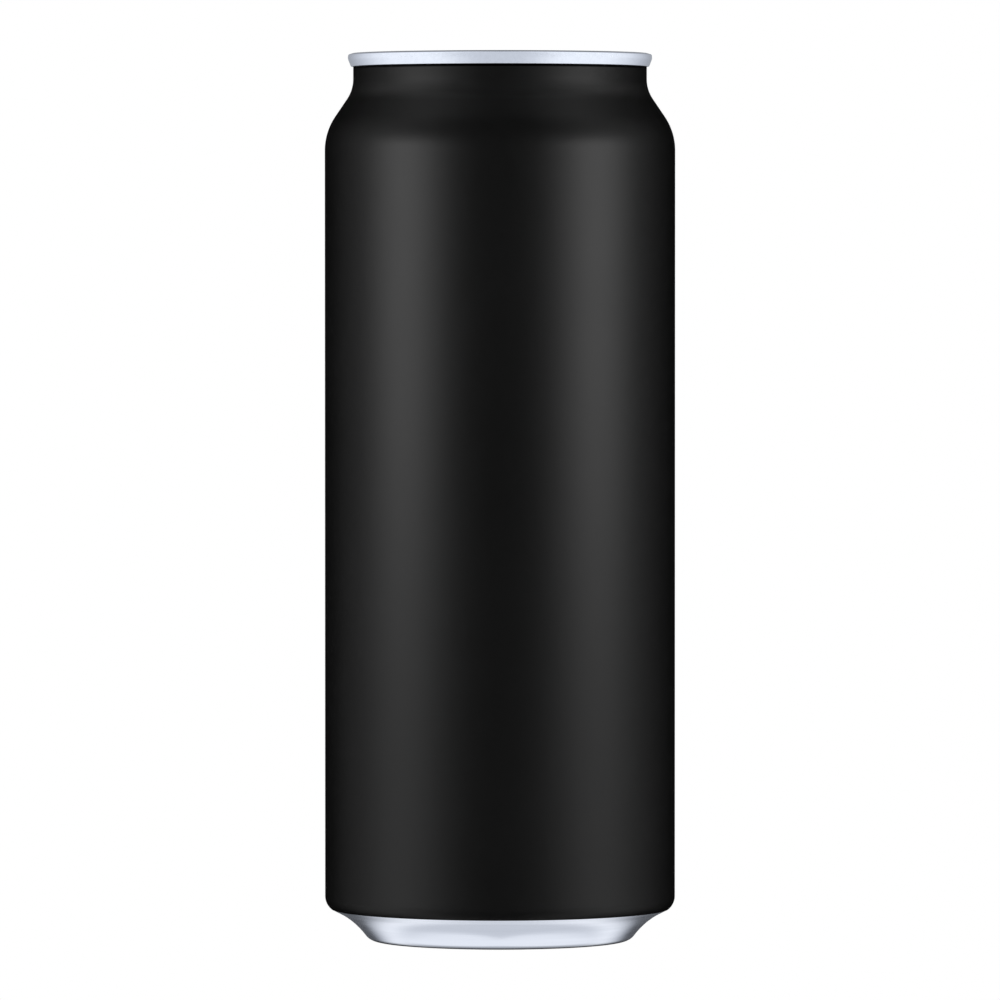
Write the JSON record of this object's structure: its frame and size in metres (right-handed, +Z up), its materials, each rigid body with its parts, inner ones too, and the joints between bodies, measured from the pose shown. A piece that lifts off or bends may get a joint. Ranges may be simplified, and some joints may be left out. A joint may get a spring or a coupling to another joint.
{
  "type": "beer can",
  "caption": "Shut, filled half-litre drinks can: black-coated aluminium body, bare base and rim, seamed lid with a stay-on pull tab.",
  "frame": {"origin": "on the standing plane, under the can's axis", "axes": "+Z up along the can's axis, -Y towards the front, where the lid's pouring mouth is, +X to the right seen from the front"},
  "size_m": [0.0662, 0.0662, 0.1678],
  "materials": {
    "black_lacquer": "satin black coat over drawn aluminium",
    "bare_aluminium": "bright, finely brushed"
  },
  "bodies": {
    "root": {"can_body": "black_lacquer", "can_lid": "bare_aluminium", "pull_tab": "bare_aluminium"}
  },
  "joints": []
}
